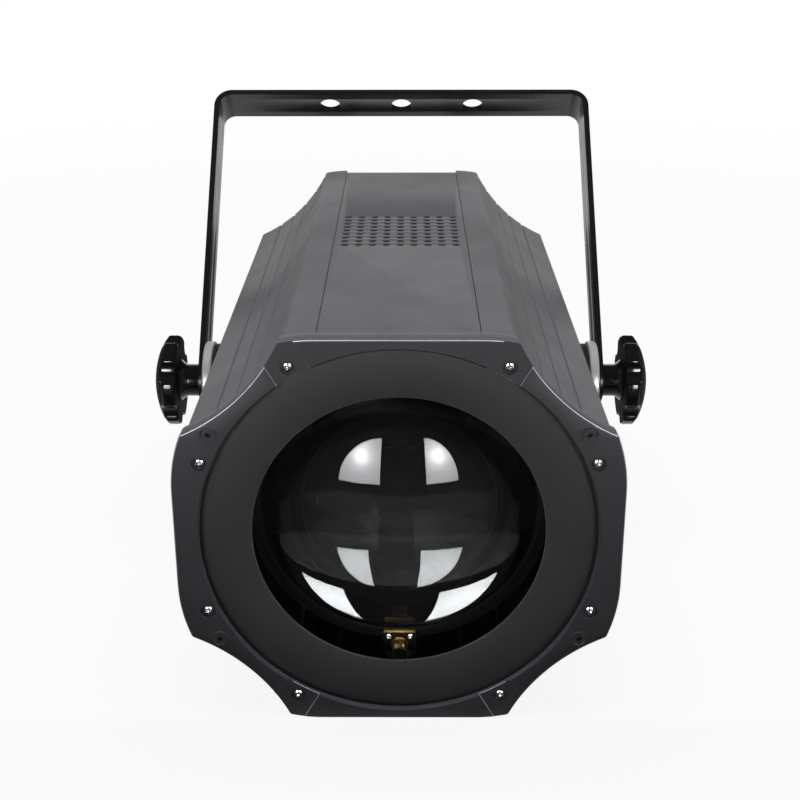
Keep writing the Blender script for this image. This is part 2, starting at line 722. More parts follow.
# Front collar
# A cast aluminium ring between the shell and the bezel, with the glass pocket in its face. It stands a little
# proud of the shell and rolls over to it in a soft shoulder. It has the body's coat.

ROD_SIDE = 93.0
COLLAR_FRONT = 3.3
COLLAR_BACK = 15.8
POCKET = 109.8
POCKET_BACK = 9.9
COLLAR_LIP = 86.0
SHOULDER_LENGTH = 5.6
SHOULDER_DROP = 2.3


def four(place):
    """A place in the upper right corner, and its mirror images."""
    return [np.array((x * place[0], z * place[1])) for x, z in ((1, 1), (1, -1), (-1, -1), (-1, 1))]


SCREWS = four(TOP_SCREW) + four(SIDE_SCREW)
t = np.linspace(0, math.pi / 2, 9)
shoulder = np.stack([GAP + SHOULDER_DROP * (1 - np.cos(t)), COLLAR_BACK - SHOULDER_LENGTH * (1 - np.sin(t))], -1)
collar_edge = np.concatenate([[(GAP + 0.35, COLLAR_FRONT), (GAP + 0.1, COLLAR_FRONT + 0.1),
                               (GAP, COLLAR_FRONT + 0.35)], shoulder])
collar_bore = [(0, COLLAR_FRONT), (0, POCKET_BACK), (COLLAR_LIP - POCKET, POCKET_BACK),
               (COLLAR_LIP - POCKET, COLLAR_BACK)]
collar_walls = [raised(outline, collar_edge), hole((0, 0), POCKET, collar_bore, 128)]
collar_walls += [bored(place, SCREW_HOLE, COLLAR_FRONT, COLLAR_BACK, 32) for place in SCREWS]
collar = blacken_inside(made('collar', plate(collar_walls), 'head', body_coat, 'front_collar'))

# Front bezel
# A coated aluminium plate with scalloped corners. Its outer edge and bore are cut after coating and shine.
# Shallow flats are milled round the upper and lower screws, and four raised bosses take accessory screws.

BEZEL = 3.0
BORE = 107.1
BORE_CHAMFER = 0.9
EDGE_SOFTNESS = 0.55
COUNTERBORE = 4.0
HEAD_SEAT = 2.3
BOSS_PLACE = (98.9, 61.1)
BOSS = 4.6
BOSS_HOLE = 1.7
PAD_DEPTH = 0.6
PAD_HALF = 9.8
PAD_SLOPE = 0.25
HOLE_SOFTNESS = 0.12
EDGE_TILT = (0.35, 0.97)
BORE_LINE = 0.35
RIM_START = 108.5
HOLE_REACH = 4.8

bezel_coat = powder_coat('bezel_coat', (0.052, 0.054, 0.063), 0.46)


def pad_cutter(place):
    """A wedge-sided block across the bezel at a screw, for the milled flat."""
    out = place / np.hypot(*place)
    aside = np.array((-out[1], out[0]))
    low, high = BORE - PAD_HALF, BORE + 2 * PAD_HALF
    rows = []
    for wide, depth in ((PAD_HALF + PAD_SLOPE * 2, -PAD_DEPTH), (PAD_HALF, PAD_DEPTH)):
        corners = np.array([out * low - aside * wide, out * low + aside * wide, out * high + aside * wide,
                            out * high - aside * wide])
        rows.append(np.stack([corners[:, 0], np.full(4, depth), corners[:, 1]], -1))
    return plate([np.stack(rows)])


def carve(item, cutters, overlapping=False):
    """Cuts closed shapes, each a list of patches, from a piece. Its own overlapping shells can be joined first."""
    tools = []
    for patches in cutters:
        tool = bpy.data.objects.new('cutter', welded('cutter', patches))
        bpy.context.scene.collection.objects.link(tool)
        change = item.modifiers.new('cut', 'BOOLEAN')
        change.operation = 'DIFFERENCE'
        change.solver = 'EXACT'
        change.use_self = overlapping
        change.object = tool
        tools.append(tool)
    graph = bpy.context.evaluated_depsgraph_get()
    result = bpy.data.meshes.new_from_object(item.evaluated_get(graph))
    item.modifiers.clear()
    item.data = result
    for tool in tools:
        bpy.data.objects.remove(tool)
    return item


counterbore = [(HOLE_SOFTNESS, 0), (0, HOLE_SOFTNESS), (0, HEAD_SEAT), (SCREW_HOLE - COUNTERBORE, HEAD_SEAT),
               (SCREW_HOLE - COUNTERBORE, BEZEL)]
bezel_walls = [raised(outline, round_edge(0, BEZEL, EDGE_SOFTNESS)),
               hole((0, 0), BORE, [(BORE_CHAMFER, 0), (0, BORE_CHAMFER), (0, BEZEL)], 160)]
bezel_walls += [hole(place, COUNTERBORE, counterbore, 32) for place in SCREWS]
bezel_walls += [bored(place, BOSS_HOLE, 0, BEZEL) for place in four(BOSS_PLACE)]
bezel = made('bezel', plate(bezel_walls), 'head', bezel_coat, 'front_bezel', sharp=24)
carve(bezel, [pad_cutter(place) for place in four(TOP_SCREW)])
bare_edge = plated('bare_aluminium_edge', (0.62, 0.63, 0.66), 0.35, 0.05)
bare_edge.shader.inputs['Metallic'].default_value = 0.3

# The bright edge is what slopes to the front on the outer rim and in the bore, away from the screws and bosses.
tilt = -of_faces(bezel, 'normal')[:, 1]
x, depth, z = (of_faces(bezel, 'center') * 1000 - (0, FRONT, AXIS)).T
near_hole = np.min([np.hypot(x - place[0], z - place[1]) for place in SCREWS + four(BOSS_PLACE)], axis=0) < HOLE_REACH
cut_bright = (tilt > EDGE_TILT[0]) & (tilt < EDGE_TILT[1]) & (depth < BORE_CHAMFER) & ~near_hole
from_axis = np.hypot(x, z)
cut_bright &= (from_axis > RIM_START) | (from_axis < BORE + BORE_LINE)
second_finish(bezel, bare_edge, cut_bright)

# Accessory bosses
# Pressed rings that stand 0.4 mm proud of the bezel, dished towards a small threaded hole.

boss_profile = softened([(BOSS_HOLE, 1.2), (BOSS_HOLE, 0.25), (BOSS - 1.2, 0.05), (BOSS - 0.9, -BOSS_RISE),
                         (BOSS - 0.25, -BOSS_RISE), (BOSS, 0.05), (BOSS, 1.2)], 0.25, steps=4)
boss_profile = np.concatenate([boss_profile, [(BOSS_HOLE, 1.2)]])
for number, place in enumerate(four(BOSS_PLACE), 1):
    boss = made('accessory_boss_%d' % number, [turned(boss_profile, place, 40)], 'head', bezel_coat, sharp=50)

# Bezel screws
# Bright plated pan-head screws with a cross recess. They reach through the collar into the profiles' ports.

SCREW = 1.5
SCREW_HEAD = 2.8
SCREW_TOP = 0.4
SCREW_HEAD_HEIGHT = 1.6
SCREW_LENGTH = 24.0
CROSS_ARM = 0.42
CROSS_REACH = 1.55
CROSS_DEPTH = 1.0
HEAD_DOME = 0.45

chrome = plated('bright_plated_steel', (0.72, 0.72, 0.73), 0.16, 0.06)


def cross_head(place, turn, head, height, top, arm, reach, depth, rings=22, spokes=64):
    """A pan head: it falls away by HEAD_DOME of its height times the cube of r over the head, less a sloped cross."""
    r = (np.linspace(0, 1, rings) ** 0.8)[:, None] * head
    t = full_turn(spokes)
    x, z = r * np.cos(t), r * np.sin(t)
    dome = top + height * HEAD_DOME * (r / head) ** 3 + 0 * t
    across = np.minimum(np.abs(x * math.cos(turn) + z * math.sin(turn)),
                        np.abs(-x * math.sin(turn) + z * math.cos(turn)))
    wall = np.clip((arm * 1.25 - across) / (arm * 0.5), 0, 1)
    fade = np.clip((reach - r) / (reach * 0.75), 0, 1) ** 0.6
    deep = dome + depth * wall * fade
    points = np.stack([place[0] + x, deep, place[1] + z], -1)
    return points.reshape(-1, 3), grid_faces(rings, spokes).tolist()


def small_screw(place, turn, head, rise, seat, arm, reach, depth, sink=0.05, rings=16, spokes=48):
    """A pan head without a shank, which sinks a little into its seat."""
    foot = [(head, seat - rise * (1 - HEAD_DOME)), (head, seat + sink), (0, seat + sink)]
    return [cross_head(place, turn, head, rise, seat - rise, arm, reach, depth, rings, spokes),
            turned(foot, place, spokes)]


def long_screw(place, turn, spokes=64):
    """A pan-head screw with a plain shank."""
    foot = SCREW_TOP + SCREW_HEAD_HEIGHT
    rim = SCREW_TOP + SCREW_HEAD_HEIGHT * HEAD_DOME
    head = cross_head(place, turn, SCREW_HEAD, SCREW_HEAD_HEIGHT, SCREW_TOP, CROSS_ARM, CROSS_REACH, CROSS_DEPTH,
                      spokes=spokes)
    shank = [(SCREW_HEAD, rim), (SCREW_HEAD, foot), (SCREW, foot), (SCREW, foot + SCREW_LENGTH - 0.5),
             (SCREW - 0.5, foot + SCREW_LENGTH), (0, foot + SCREW_LENGTH)]
    return [head, turned(shank, place, spokes)]


for number, place in enumerate(SCREWS, 1):
    made('screw_%d' % number, long_screw(place, 0.6 + 1.3 * number), 'head', chrome, 'bezel_screw_%d' % number,
         sharp=35)

# Front glass, baffle and gasket
# Flat clear glass with a low-reflection surface, a black sheet baffle whose laser-cut edge catches the light,
# and a silicone gasket behind it, all clamped in the collar's pocket by the bezel.

GLASS = 3.0
GLASS_BACK = COLLAR_FRONT + GLASS
BAFFLE = 1.2
BAFFLE_BACK = GLASS_BACK + GAP + BAFFLE
APERTURE = 79.3
GASKET = 1.5
GASKET_BORE = 101.0
STACK = POCKET - GAP

clear_glass = Finish('clear_front_glass', (1.0, 1.0, 1.0), 0.03, 1.0)
sheen = clear_glass.node('ShaderNodeFresnel', {}, {'IOR': 1.18})
smudge = clear_glass.noise(30.0, 3.0)
clear_glass.feed('Alpha', sheen * 0.9 + smudge * 0.002)
baffle_coat = powder_coat('baffle_black', (0.028, 0.0285, 0.034), 0.55, 0.00001)
cut_edge = plated('laser_cut_edge', (0.34, 0.35, 0.36), 0.45)
silicone = powder_coat('gasket_silicone', (0.02, 0.02, 0.02), 0.75)

made('glass', [disc(STACK, COLLAR_FRONT, GLASS_BACK, 0.4, steps=128)], 'head', clear_glass, 'front_glass')
baffle = made('baffle', [washer(APERTURE, STACK, GLASS_BACK + GAP, BAFFLE_BACK, 0.12, steps=160)], 'head',
              baffle_coat, 'front_baffle')
centres = of_faces(baffle, 'center')
inner_wall = np.hypot(centres[:, 0], centres[:, 2] - AXIS / 1000) < (APERTURE + 0.1) / 1000
second_finish(baffle, cut_edge, inner_wall)
made('gasket', [washer(GASKET_BORE, STACK, BAFFLE_BACK + GAP, BAFFLE_BACK + GAP + GASKET, 0.3, steps=128)], 'head',
     silicone, 'glass_gasket')

# Lens
# A pair of clear polished lenses, flat sides together: the front one bulges to the front and has a straight edge,
# and the thin rear one sits in the carriage's bore.

LENS_SEAT = 40.5
LENS_RADIUS = 79.8
LENS_CLEAR = 77.5
LENS_CURVE = 125.0
LENS_EDGE = 5.0
REAR_LENS = 74.0
REAR_LENS_FRONT = 46.1
REAR_LENS_EDGE = 3.0
REAR_LENS_SAG = 8.0


def lens_finish(name, index):
    """Clear glass of a refractive index, with a faint uneven tint."""
    glass = Finish(name, (0.985, 0.99, 0.99), 0.0, 0.0, Transmission_Weight=1.0, IOR=index)
    return glass.tint(glass.noise(12.0, 2.0), (0.99, 0.995, 0.99), (0.97, 0.98, 0.98))


def bulge(clear, curve, seat, steps):
    """A lens's round front: (radius, depth) from the axis out to the clear radius, where its depth is the seat's."""
    swing = np.linspace(0, math.asin(clear / curve), steps)
    centre = seat + math.sqrt(curve ** 2 - clear ** 2)
    return np.stack([curve * np.sin(swing), centre - curve * np.cos(swing)], -1)


polished, dense_glass = lens_finish('polished_lens_glass', 1.52), lens_finish('dense_lens_glass', 1.8)
lens_back = LENS_SEAT + LENS_EDGE
rim = [(LENS_RADIUS - 0.3, LENS_SEAT), (LENS_RADIUS, LENS_SEAT + 0.3), (LENS_RADIUS, lens_back - 0.4),
       (LENS_RADIUS - 0.4, lens_back), (0, lens_back)]
lens = np.concatenate([bulge(LENS_CLEAR, LENS_CURVE, LENS_SEAT, 48), rim])
made('lens_glass', [turned(lens, steps=160)], 'zoom_carriage', polished, 'lens', sharp=20)
share = np.linspace(1, 0, 40)
rear_dome = np.stack([REAR_LENS * share, REAR_LENS_FRONT + REAR_LENS_EDGE + REAR_LENS_SAG * (1 - share ** 2)], -1)
rear_lens = np.concatenate([[(0, REAR_LENS_FRONT), (REAR_LENS, REAR_LENS_FRONT)], rear_dome])
item = made('rear_lens_glass', [turned(rear_lens, steps=160)], 'zoom_carriage', dense_glass, sharp=20)

# Lens retainer and carriage
# A thin black ring holds the lens down on a moulded black carriage. Two ears on the carriage hold the bushes
# that run on the guide rods, and a thicker ear below takes the lead nut.

RETAINER_BORE = 77.9
RETAINER = 81.5
RETAINER_THICKNESS = 1.4
RETAINER_FRONT = LENS_SEAT - GAP - RETAINER_THICKNESS
CARRIAGE = 86.0
CARRIAGE_BORE = 74.5
CARRIAGE_BACK = LENS_SEAT + 11.5
BUSH = 5.5
EAR = 8.5
SCREW_DROP = 87.0
NUT_EAR_HALF = 11.0
NUT_EAR_LOW = 96.5
NUT_BARREL = 5.1

matt_black = powder_coat('matt_black', (0.008, 0.008, 0.009), 0.70, 0.00003)
matt_black.shader.inputs['Specular IOR Level'].default_value = 0.12
made('retainer', [washer(RETAINER_BORE, RETAINER, RETAINER_FRONT, LENS_SEAT - GAP, 0.3, steps=128)],
     'zoom_carriage', matt_black, 'lens_retainer')

seat_back = LENS_SEAT + LENS_EDGE + GAP
carriage_profile = softened([(LENS_RADIUS + GAP, LENS_SEAT), (CARRIAGE, LENS_SEAT), (CARRIAGE, CARRIAGE_BACK),
                             (CARRIAGE_BORE, CARRIAGE_BACK), (CARRIAGE_BORE, seat_back),
                             (LENS_RADIUS + GAP, seat_back)], 0.4, closed=True)
carriage = [turned(carriage_profile, steps=128, closed=True)]
carriage += [washer(BUSH + GAP, EAR, LENS_SEAT, CARRIAGE_BACK, 0.4, (side * ROD_SIDE, 0), 40) for side in (1, -1)]
for high, front, back in ((-CARRIAGE, LENS_SEAT, CARRIAGE_BACK), (-RETAINER - GAP, RETAINER_FRONT, LENS_SEAT + 1)):
    ear = oblong((0, (high - NUT_EAR_LOW) / 2), NUT_EAR_HALF, (high + NUT_EAR_LOW) / 2, 1.2)
    carriage += plate([raised(ear, round_edge(front, back, 0.4))])
item = made('carriage', carriage, 'zoom_carriage', matt_black, 'lens_carriage')
nut_bore = disc(NUT_BARREL + GAP, RETAINER_FRONT - 1, CARRIAGE_BACK + 1, centre=(0, -SCREW_DROP), steps=48)
carve(item, [[nut_bore]], overlapping=True)

# Lead nut and its screws
# A turned brass nut: a square flange with four small screws, and a barrel on each side of it. The screws are
# bright plated and hold the nut on the carriage's lower ear.

LEAD = 4.0
NUT_FLANGE = (18.5, 19.0)
NUT_FLANGE_THICKNESS = 3.4
NUT_FRONT = RETAINER_FRONT - GAP - NUT_FLANGE_THICKNESS
NUT_BARREL_FRONT = 11.2
NUT_BARREL_BACK = 11.5
NUT_COVER = 0.8
NUT_SCREW = (6.3, 6.1)
NUT_SCREW_HEAD = 1.9
NUT_SCREW_RISE = 1.1

brass = plated('turned_brass', (0.84, 0.62, 0.24), 0.30, 0.08)
nut_place = np.array((0, -SCREW_DROP))
nut_flange = oblong(nut_place, NUT_FLANGE[0] / 2, NUT_FLANGE[1] / 2, 1.0)
bore = LEAD + GAP
barrel_front, barrel_back = NUT_FRONT - NUT_BARREL_FRONT, NUT_FRONT + NUT_FLANGE_THICKNESS + NUT_BARREL_BACK
nut = plate([raised(nut_flange, round_edge(NUT_FRONT, NUT_FRONT + NUT_FLANGE_THICKNESS, 0.5)),
             bored(nut_place, bore, NUT_FRONT, NUT_FRONT + NUT_FLANGE_THICKNESS, 48)])
for mouth, root in ((barrel_front, NUT_FRONT + 0.5), (barrel_back, NUT_FRONT + NUT_FLANGE_THICKNESS - 0.5)):
    inward = 1 if root > mouth else -1
    wall = [(bore, root), (bore, mouth + 1.2 * inward), (bore + 0.45, mouth), (NUT_BARREL, mouth),
            (NUT_BARREL, mouth + 1.4 * inward), (NUT_BARREL - 0.25, mouth + 2.0 * inward),
            (NUT_BARREL - 0.25, root)]
    nut.append(turned(softened(wall, 0.15, closed=True), nut_place, 48, closed=True))
made('nut', nut, 'zoom_carriage', brass, 'lead_nut')
cover_front = NUT_FRONT - NUT_COVER
cover = oblong(nut_place - (0, 0.7), NUT_FLANGE[0] / 2 - 0.2, NUT_FLANGE[1] / 2 - 0.7, 1.0)
item = made('nut_cover', plate([raised(cover, round_edge(cover_front, NUT_FRONT, 0.2)),
                                bored(nut_place, NUT_BARREL + 0.2, cover_front, NUT_FRONT, 48)]),
            'zoom_carriage', matt_black)
for number, place in enumerate(four(NUT_SCREW), 1):
    patches = small_screw(place + nut_place, 0.3 + number, NUT_SCREW_HEAD, NUT_SCREW_RISE, cover_front, 0.3, 1.25,
                          0.8, sink=0.2)
    screw = made('nut_screw_%d' % number, patches, 'zoom_carriage', chrome, sharp=35)

# Bushes, guide rods and lead screw
# Flanged bronze bushes run on ground steel rods. The screw is rolled from steel and has a round-topped thread.

ROD = 3.0
BUSH_FLANGE = 7.0
BULKHEAD_BACK = 152.0
SOCKET_FRONT = COLLAR_BACK - 4.0
ROD_FRONT = SOCKET_FRONT + GAP
THREAD_PITCH = 2.5
THREAD_DEPTH = 0.7
LEAD_FRONT = NUT_FRONT - NUT_BARREL_FRONT + 1.5
LEAD_BACK = 176.3

carve(collar, [[disc(ROD + GAP, SOCKET_FRONT, COLLAR_BACK + 1, centre=(side * ROD_SIDE, 0), steps=32)]
               for side in (1, -1)])
ground_steel = plated('ground_steel', (0.62, 0.62, 0.63), 0.16, 0.05)
for side_name, side in SIDES:
    place = (side * ROD_SIDE, 0)
    flange_front, flange_back = LENS_SEAT - GAP - 1.0, LENS_SEAT - GAP
    bush = softened([(ROD + GAP, flange_front), (BUSH_FLANGE, flange_front), (BUSH_FLANGE, flange_back),
                     (BUSH, flange_back), (BUSH, CARRIAGE_BACK), (ROD + GAP, CARRIAGE_BACK)], 0.25, closed=True)
    made('bush_' + side_name, [turned(bush, place, 48, closed=True)], 'zoom_carriage', brass,
         'slide_bush_' + side_name)
    made('rod_' + side_name, [disc(ROD, ROD_FRONT, BULKHEAD_BACK, 0.5, place, 40)], 'head', ground_steel,
         'guide_rod_' + side_name)


def threaded(front, back, radius, pitch, depth, spokes=32, rows_a_turn=8):
    """A thread: radius less depth times (0.5 + 0.5 cos) of depth over pitch less the turn, clipped to crests."""
    row = np.linspace(front, back, int((back - front) / pitch * rows_a_turn) + 1)[:, None]
    t = full_turn(spokes)
    wave = 0.5 + 0.5 * np.cos(2 * math.pi * row / pitch - t)
    cut_in = np.clip(1.6 * wave - 0.3, 0, 1)
    fade = np.clip(np.minimum(row - front, back - row) / pitch, 0, 1)
    r = radius - depth * np.where(fade < 1, 1 - (1 - cut_in) * fade, cut_in)
    points = around(r, row, t)
    cap_front, cap_back = points[:1] * (0, 1, 0), points[-1:] * (0, 1, 0)
    rows = np.concatenate([cap_front, points, cap_back])
    return rows.reshape(-1, 3), grid_faces(len(rows), spokes).tolist()


def shifted(patch, place):
    """A patch moved to a place in X and Z."""
    return patch[0] + (place[0], 0, place[1]), patch[1]


made('screw_of_zoom', [shifted(threaded(LEAD_FRONT, LEAD_BACK, LEAD, THREAD_PITCH, THREAD_DEPTH), nut_place)],
     'zoom_screw', ground_steel, 'lead_screw', sharp=50)


def dress(finish, *nodes):
    """A CAD node whose own shape stays, in its finish."""
    for node in nodes:
        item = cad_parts[node]
        item.data.materials.clear()
        item.data.materials.append(finish.material)


# Bulkhead and zoom motor
# A pressed black disc with four folded tabs carries the rods, the light engine and the small black stepper motor.
# Its four posts hold the heat sink.

BULKHEAD_FRONT = 150.0
BULKHEAD = 104.0
LIGHT_HOLE = 36.0
TAB_HALF = 16.0
TAB_LENGTH = 12.0
TAB_SHEET = 2.0
MOTOR_HALF = 17.5
MOTOR_FRONT = BULKHEAD_BACK + GAP
MOTOR_LENGTH = 26.0
MOTOR_CORNER = 4.0
PILOT = 11.0
SINK_FRONT = 189.9
SINK_HALF = 62.0
POST_INSET = 8.0
SINK_POST = 5.0

motor_black = powder_coat('motor_black', (0.02, 0.02, 0.022), 0.5)
bulkhead = plate([raised(ring_loop((0, 0), BULKHEAD, 128), round_edge(BULKHEAD_FRONT, BULKHEAD_BACK, 0.4)),
                  bored((0, 0), LIGHT_HOLE, BULKHEAD_FRONT, BULKHEAD_BACK, 96),
                  bored(nut_place, PILOT + GAP, BULKHEAD_FRONT, BULKHEAD_BACK, 40)]
                 + [bored((side * ROD_SIDE, 0), ROD + GAP, BULKHEAD_FRONT, BULKHEAD_BACK) for side in (-1, 1)])
for reach, across in ((panel_top - WALL - GAP, 1), (panel_side - WALL - GAP, 0)):
    root = BULKHEAD - 2 * TAB_SHEET
    tab = softened([(root, BULKHEAD_FRONT), (reach, BULKHEAD_FRONT), (reach, BULKHEAD_FRONT + TAB_LENGTH),
                    (reach - TAB_SHEET, BULKHEAD_FRONT + TAB_LENGTH), (reach - TAB_SHEET, BULKHEAD_BACK),
                    (root, BULKHEAD_BACK)], 0.9, closed=True)
    for side in (-1, 1):
        wall = np.stack([np.stack([side * tab[:, 0], tab[:, 1], np.full(len(tab), end)], -1)
                         for end in (-TAB_HALF, TAB_HALF)])
        bulkhead += plate([wall[:, :, (2, 1, 0)] if across else wall])
bulkhead += [disc(SINK_POST, BULKHEAD_FRONT + 1, SINK_FRONT - GAP, centre=place, steps=32)
             for place in four((SINK_HALF - POST_INSET, SINK_HALF - POST_INSET))]
made('bulkhead', bulkhead, 'head', matt_black, 'inner_bulkhead')

motor = plate([raised(oblong(nut_place, MOTOR_HALF, MOTOR_HALF, MOTOR_CORNER),
                      round_edge(MOTOR_FRONT, MOTOR_FRONT + MOTOR_LENGTH, 0.8)),
               bored(nut_place, LEAD + GAP, MOTOR_FRONT, MOTOR_FRONT + MOTOR_LENGTH, 32)])
motor.append(washer(LEAD + GAP, PILOT, MOTOR_FRONT - 1, MOTOR_FRONT + 0.5, 0.2, nut_place, 48))
made('motor', motor, 'head', motor_black, 'zoom_motor')

# Light engine
# A black spun cup with a condenser lens in its mouth stands over a phosphor emitter, on a finned heat sink that
# hangs from a bright slotted bracket.

REFLECTOR_FRONT = 152.3
REFLECTOR_LENGTH = 34.0
REFLECTOR_MOUTH = 40.0
REFLECTOR_THROAT = 15.0
REFLECTOR_WALL = 1.4
CONDENSER = 33.0
CONDENSER_CURVE = 46.0
CONDENSER_SEAT = 164.0
CONDENSER_EDGE = 3.0

aluminium = plated('mill_aluminium', (0.70, 0.71, 0.72), 0.34)
board_white = powder_coat('emitter_board', (0.75, 0.73, 0.52), 0.45)
zinc = plated('zinc_plate', (0.62, 0.63, 0.62), 0.40, 0.12)
zinc.shader.inputs['Metallic'].default_value = 0.45


def bowl(start, end, steps):
    """The reflector's curve: radius falls from mouth to throat by 0.35 s + 0.65 s^2, s being the share of depth."""
    share = np.linspace(start, end, steps + 1)
    radius = REFLECTOR_MOUTH - (REFLECTOR_MOUTH - REFLECTOR_THROAT) * (0.35 * share + 0.65 * share ** 2)
    return np.stack([radius, REFLECTOR_FRONT + REFLECTOR_LENGTH * share], -1)


outer_bowl = bowl(0, 1, 24)
inner_bowl = outer_bowl - (REFLECTOR_WALL, 0)
made('reflector', [turned(np.concatenate([inner_bowl, outer_bowl[::-1]]), steps=96, closed=True)], 'head',
     matt_black, 'collimator', sharp=40)
condenser = np.concatenate([bulge(CONDENSER, CONDENSER_CURVE, CONDENSER_SEAT, 32),
                            [(CONDENSER, CONDENSER_SEAT + CONDENSER_EDGE), (0, CONDENSER_SEAT + CONDENSER_EDGE)]])
item = made('condenser_lens', [turned(condenser, steps=128)], 'head', polished, sharp=20)
dress(aluminium, 'heat_sink', 'power_supply')
dress(board_white, 'led_board')
dress(zinc, 'sink_bracket')

# Rear panel
# A coated steel sheet with a slotted fan grille and openings for the window, the keys and the connectors. Eight
# screws hold it on the profiles, and four hold the fan on it.

REAR_FRONT = REAR_FACE - REAR_SHEET
REAR_INSET = BODY_INSET + WALL + 2 * GAP
FAN_HEIGHT = -8.0
FAN_BORE = 38.0
GRILLE_RINGS = 4
GRILLE_SLOT = 4.8
GRILLE_WEB = 3.0
WINDOW = (29.0, 14.5)
WINDOW_RIM = 2.0
WINDOW_HEIGHT = 74.0
BUTTON = 4.5
BUTTON_PLACES = [((i - 1.5) * 19.0, 46.0) for i in range(4)]
CONNECTOR_BODY = 11.8
CONNECTOR_PLACES = [((i - 1.5) * 34.0, -72.0) for i in range(4)]
FAN_SCREW = 35.75
POST_REACH = (45.0, 23.0)
BOARD_HEIGHT = 64.0
POST = 3.0
POST_LENGTH = 6.0
REAR_SCREW_RISE = 1.6


def grille_slot(inner, outer, start, end, steps=14):
    """A slot along an arc, as fixed points: out along one circle and back along the other."""
    centre = np.array((0, FAN_HEIGHT))
    loop = np.concatenate([bow(centre, outer, start, end, steps), bow(centre, inner, end, start, steps)])
    return softened(loop, 0.9, closed=True, steps=1)


rear_loops = [lambda inset: outline(REAR_INSET + inset)]
for ring in range(GRILLE_RINGS):
    slot_inner = FAN_BORE - (ring + 1) * GRILLE_SLOT - ring * GRILLE_WEB
    for quarter in range(4):
        web = GRILLE_WEB / slot_inner
        rear_loops.append(grille_slot(slot_inner, slot_inner + GRILLE_SLOT, math.pi / 2 * quarter + web,
                                      math.pi / 2 * (quarter + 1) - web))
rear_loops.append(oblong((0, WINDOW_HEIGHT), WINDOW[0] - WINDOW_RIM, WINDOW[1] - WINDOW_RIM, 0.8))
rear_loops += [ring_loop(place, BUTTON + GAP) for place in BUTTON_PLACES]
rear_loops += [ring_loop(place, CONNECTOR_BODY + GAP, 40) for place in CONNECTOR_PLACES]
rear = plate(sheet_walls(rear_loops, REAR_FRONT, REAR_FACE, 0.2))
rear += [disc(POST, REAR_FRONT - POST_LENGTH + GAP, REAR_FACE - 1, centre=(x, z + BOARD_HEIGHT), steps=24)
         for x, z in four(POST_REACH)]
made('panel_rear', rear, 'head', body_coat, 'rear_panel')


def facing_back(points):
    """A piece drawn with its face at depth 0, turned to face the rear and set on the rear panel."""
    return in_frame(np.asarray(points) * (1, -1, 1) + (0, REAR_FACE, 0))


def rear_screw(name, place, turn, head):
    """A pan-head screw on the rear panel."""
    patches = small_screw(place, turn, head, REAR_SCREW_RISE, 0, 0.36, head * 0.55, 0.8)
    item = made(name, patches, 'head', black_zinc, sharp=35, to_frame=facing_back)


black_zinc = plated('black_plated_steel', (0.09, 0.09, 0.10), 0.28, 0.06)
for number, place in enumerate(SCREWS, 1):
    rear_screw('rear_screw_%d' % number, place, 0.9 * number, 2.8)
for number, place in enumerate(four((FAN_SCREW, FAN_SCREW)), 1):
    rear_screw('fan_screw_%d' % number, place + (0, FAN_HEIGHT), 0.7 * number, 2.6)

# Window and menu buttons
# A dark display window that overlaps its opening, and four round keys with dished caps.

WINDOW_PROUD = 0.8
BUTTON_RISE = 2.6
KEY_STEM = REAR_FRONT - GAP
KEY_FLANGE = 1.2

moulded = powder_coat('moulded_black', (0.018, 0.018, 0.019), 0.42)
window_dark = Finish('window_dark', (0.01, 0.012, 0.02), 0.08)
window_dark.tint(window_dark.noise(40.0), (0.014, 0.016, 0.026), (0.008, 0.010, 0.016))
window_dark.feed('Roughness', window_dark.noise(90.0, 3.0) * 0.08 + 0.05)
pane = plate([raised(oblong((0, WINDOW_HEIGHT), WINDOW[0], WINDOW[1], 1.5),
                     round_edge(REAR_FACE + GAP, REAR_FACE + GAP + WINDOW_PROUD, 0.3))])
pane += plate([raised(oblong((0, WINDOW_HEIGHT), WINDOW[0] - WINDOW_RIM - GAP, WINDOW[1] - WINDOW_RIM - GAP, 0.6),
                      [(0, REAR_FRONT), (0, REAR_FACE + GAP + 0.2)])])
made('window', pane, 'head', window_dark, 'display_window')

for number, place in enumerate(BUTTON_PLACES, 1):
    top = REAR_FACE + BUTTON_RISE
    cap = [(0, KEY_STEM - KEY_FLANGE), (BUTTON + KEY_FLANGE, KEY_STEM - KEY_FLANGE), (BUTTON + KEY_FLANGE, KEY_STEM),
           (BUTTON, KEY_STEM), (BUTTON, top), (BUTTON - 1.0, top)]
    dish = [(r, top - 0.5 * (1 - (r / (BUTTON - 1.0)) ** 2)) for r in np.linspace(BUTTON - 1.5, 0, 6)]
    made('key_%d' % number, [turned(np.concatenate([softened(cap, 0.4), dish]), place, 48)],
         'menu_key_%d' % number, moulded, 'menu_button_%d' % number, sharp=40)

# Connectors
# Four flanged chassis connectors: power in and out with flat contacts, data in with pins and data out with
# sockets. The flanges are screwed on the panel, and the barrels reach in through it.

FLANGE = (12.5, 15.5)
FLANGE_THICKNESS = 2.2
WELL = 9.5
WELL_DEPTH = 14.0
BARREL_BACK = 26.0
CONTACT_RING = 4.6
CONTACT = 1.15
CONTACT_SLEEVE = 1.7
CONNECTOR_SCREW = (9.4, 12.2)
CONNECTOR_SCREW_HEAD = 1.9
CONNECTOR_SCREW_RISE = 0.9

